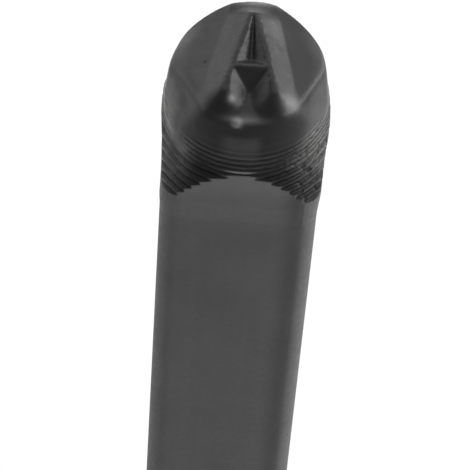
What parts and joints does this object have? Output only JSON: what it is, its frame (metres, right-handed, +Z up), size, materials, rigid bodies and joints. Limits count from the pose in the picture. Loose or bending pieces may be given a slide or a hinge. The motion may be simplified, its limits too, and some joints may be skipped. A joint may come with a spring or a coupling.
{
  "type": "steel letter punch",
  "caption": "Hand punch of blackened square steel with a turned head that carries a raised letter, and a bevelled face for a hammer.",
  "frame": {"origin": "centre of the flat striking face, at the punch's lower end", "axes": "+Z runs up the shank to the letter; -Y is the side at the letter's feet; +X is the letter's right"},
  "size_m": [0.0102, 0.0102, 0.065],
  "materials": {
    "blackened_steel": "black oxide on drawn and turned steel, slightly oily, worn thin on edges"
  },
  "bodies": {
    "root": {"letter_punch": "blackened_steel"}
  },
  "joints": []
}
